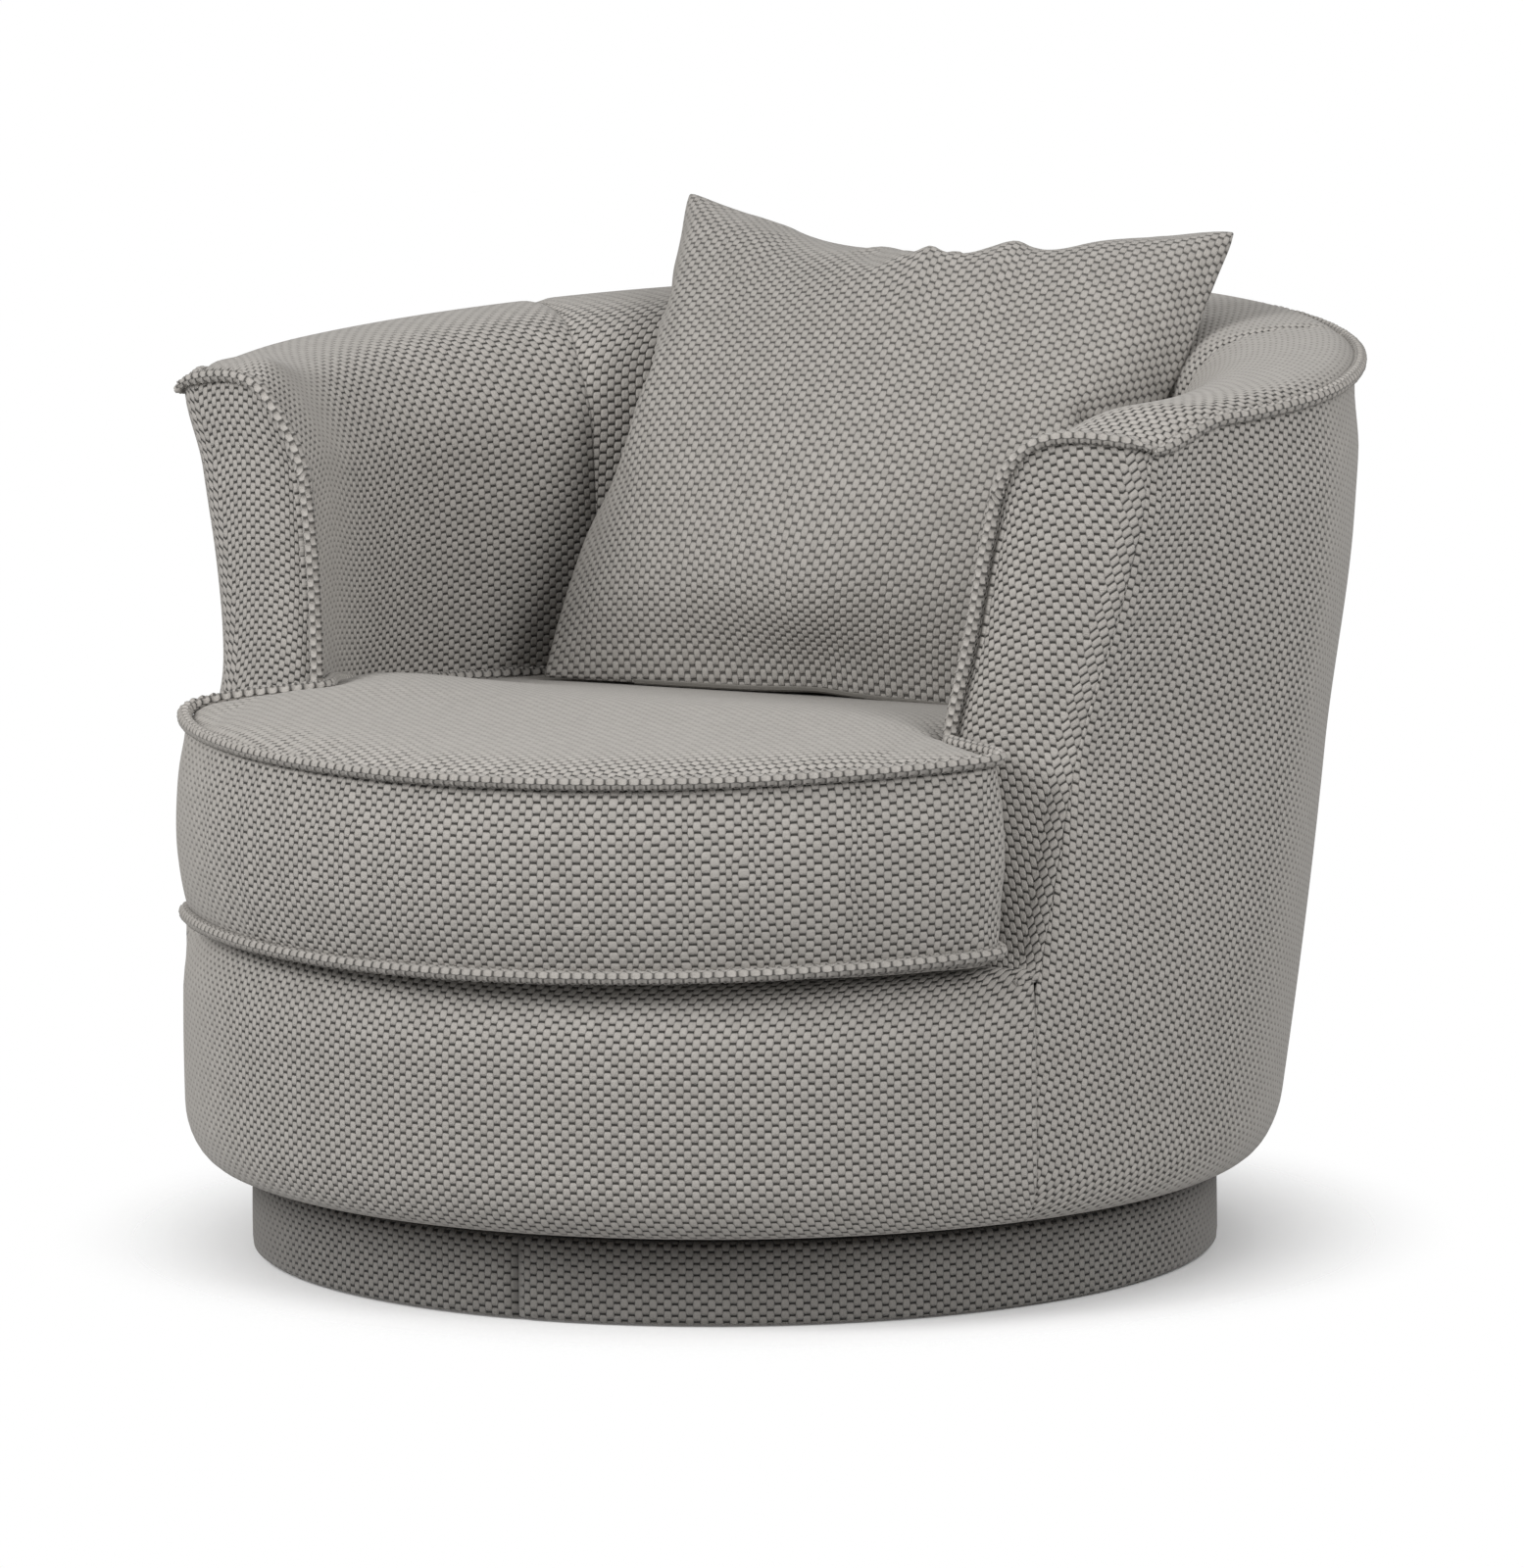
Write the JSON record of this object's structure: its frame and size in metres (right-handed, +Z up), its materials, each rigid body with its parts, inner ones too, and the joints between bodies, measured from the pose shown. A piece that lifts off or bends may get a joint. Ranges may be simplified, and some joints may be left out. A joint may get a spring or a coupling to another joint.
{
  "type": "swivel cuddle chair",
  "caption": "Round swivel cuddle chair with a low upholstered tub, thick loose seat cushion, piped edges, a covered round plinth and a scatter cushion.",
  "frame": {"origin": "on the floor, under the middle of the whole outline; the swivel axis is vertical and lies a little in front of it", "axes": "+Z up, the chair faces -Y, +X is the arm on the right seen from the front of the picture"},
  "size_m": [0.9892, 0.9508, 0.7786],
  "materials": {
    "weave_fabric": "chunky warm grey weave, matte",
    "piping_fabric": "warm grey woven piping cord, matte",
    "deck_fabric": "plain grey lining, matte",
    "dust_cloth": "black non-woven, matte",
    "frame_wood": "raw pale birch ply and softwood",
    "steel": "zinc plated",
    "nylon": "dark nylon, satin"
  },
  "bodies": {
    "plinth_body": {"plinth_bottom_panel": "frame_wood", "plinth_top_panel": "frame_wood", "plinth_band": "frame_wood", "plinth_cover": "weave_fabric", "glide_1": "nylon", "glide_2": "nylon", "glide_3": "nylon", "glide_4": "nylon", "glide_5": "nylon", "plinth_block_1": "frame_wood", "plinth_block_2": "frame_wood", "plinth_block_3": "frame_wood", "bearing_lower_ring": "steel", "ball_cage": "steel", "lower_screw_1": "steel", "lower_screw_2": "steel", "lower_screw_3": "steel", "lower_screw_4": "steel"},
    "tub_body": {"bearing_upper_ring": "steel", "upper_screw_1": "steel", "upper_screw_2": "steel", "upper_screw_3": "steel", "upper_screw_4": "steel", "base_board": "frame_wood", "dust_cloth": "dust_cloth", "arm_post_right": "frame_wood", "arm_post_left": "frame_wood", "back_post_right": "frame_wood", "back_post_middle": "frame_wood", "back_post_left": "frame_wood", "top_rail": "frame_wood", "side_rail_right": "frame_wood", "rear_rail": "frame_wood", "side_rail_left": "frame_wood", "front_rail": "frame_wood", "shell_board": "frame_wood", "outer_cover": "weave_fabric", "arm_pad_right": "weave_fabric", "back_pad": "weave_fabric", "arm_pad_left": "weave_fabric", "arm_facing_right": "weave_fabric", "arm_facing_left": "weave_fabric", "facing_piping_right": "piping_fabric", "facing_piping_left": "piping_fabric", "rim_piping": "piping_fabric", "front_cover": "weave_fabric", "spring_rail_front": "steel", "spring_rail_rear": "steel", "zigzag_spring_1": "steel", "zigzag_spring_2": "steel", "zigzag_spring_3": "steel", "zigzag_spring_4": "steel", "seat_deck": "deck_fabric"},
    "seat_cushion_body": {"seat_cushion": "weave_fabric", "cushion_piping_top": "piping_fabric", "cushion_piping_bottom": "piping_fabric", "cushion_zip": "nylon"},
    "scatter_cushion_body": {"scatter_cushion": "weave_fabric", "scatter_zip": "nylon"}
  },
  "joints": [
    {"name": "swivel", "type": "hinge", "parent": "plinth_body", "child": "tub_body", "pos_m": [0, -0.02937, 0.0725], "axis": [0, 0, 1], "continuous": true},
    {"name": "seat_cushion_lift", "type": "slide", "parent": "tub_body", "child": "seat_cushion_body", "axis": [0, 0, 1], "range_m": [0, 0.25]},
    {"name": "scatter_cushion_lift", "type": "slide", "parent": "seat_cushion_body", "child": "scatter_cushion_body", "axis": [0, 0, 1], "range_m": [0, 0.3]}
  ]
}
